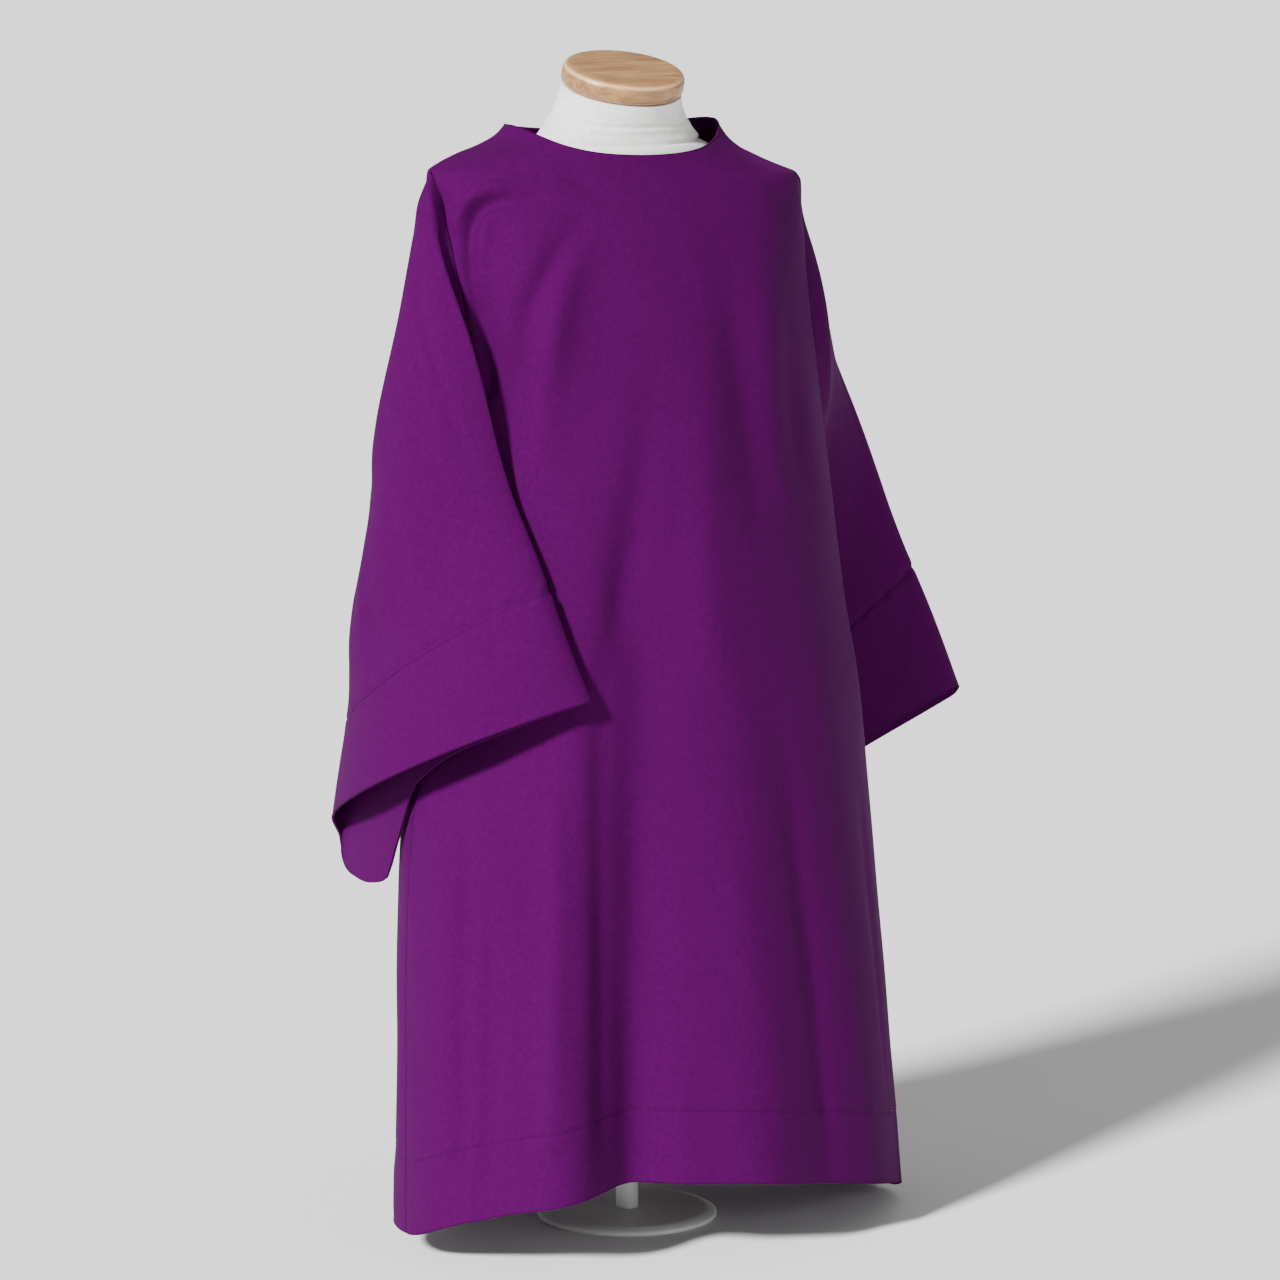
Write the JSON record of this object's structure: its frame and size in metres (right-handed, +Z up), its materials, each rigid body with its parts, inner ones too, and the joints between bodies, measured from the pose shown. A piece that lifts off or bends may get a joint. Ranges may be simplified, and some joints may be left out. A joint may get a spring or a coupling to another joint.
{
  "type": "dalmatic on dress form",
  "caption": "Plain wide-sleeved liturgical dalmatic with a boat neck, flared body and turned-up hems, hanging empty-sleeved on a limbless dress form with a wooden neck cap and a plain stand",
  "frame": {"origin": "on the floor, on the underside of the stand's base under the middle of the garment", "axes": "+Z up, the garment's front faces -Y, the wearer's right side is -X"},
  "size_m": [0.8001, 0.4342, 1.2938],
  "materials": {
    "vestment_cloth": "smooth violet wool-blend gabardine, matt with a faint sheen",
    "form_cover": "off-white cotton jersey, matt",
    "cap_wood": "turned beech, satin lacquer with a worn rim",
    "stand_paint": "pale grey satin powder coat"
  },
  "bodies": {
    "root": {"front_panel": "vestment_cloth", "back_panel": "vestment_cloth", "sleeve_right": "vestment_cloth", "sleeve_left": "vestment_cloth", "neck_facing": "vestment_cloth", "skirt_hem": "vestment_cloth", "cuff_hem_right": "vestment_cloth", "cuff_hem_left": "vestment_cloth", "form_body": "form_cover", "neck_cap": "cap_wood", "stand_pole": "stand_paint", "stand_base": "stand_paint"}
  },
  "joints": []
}
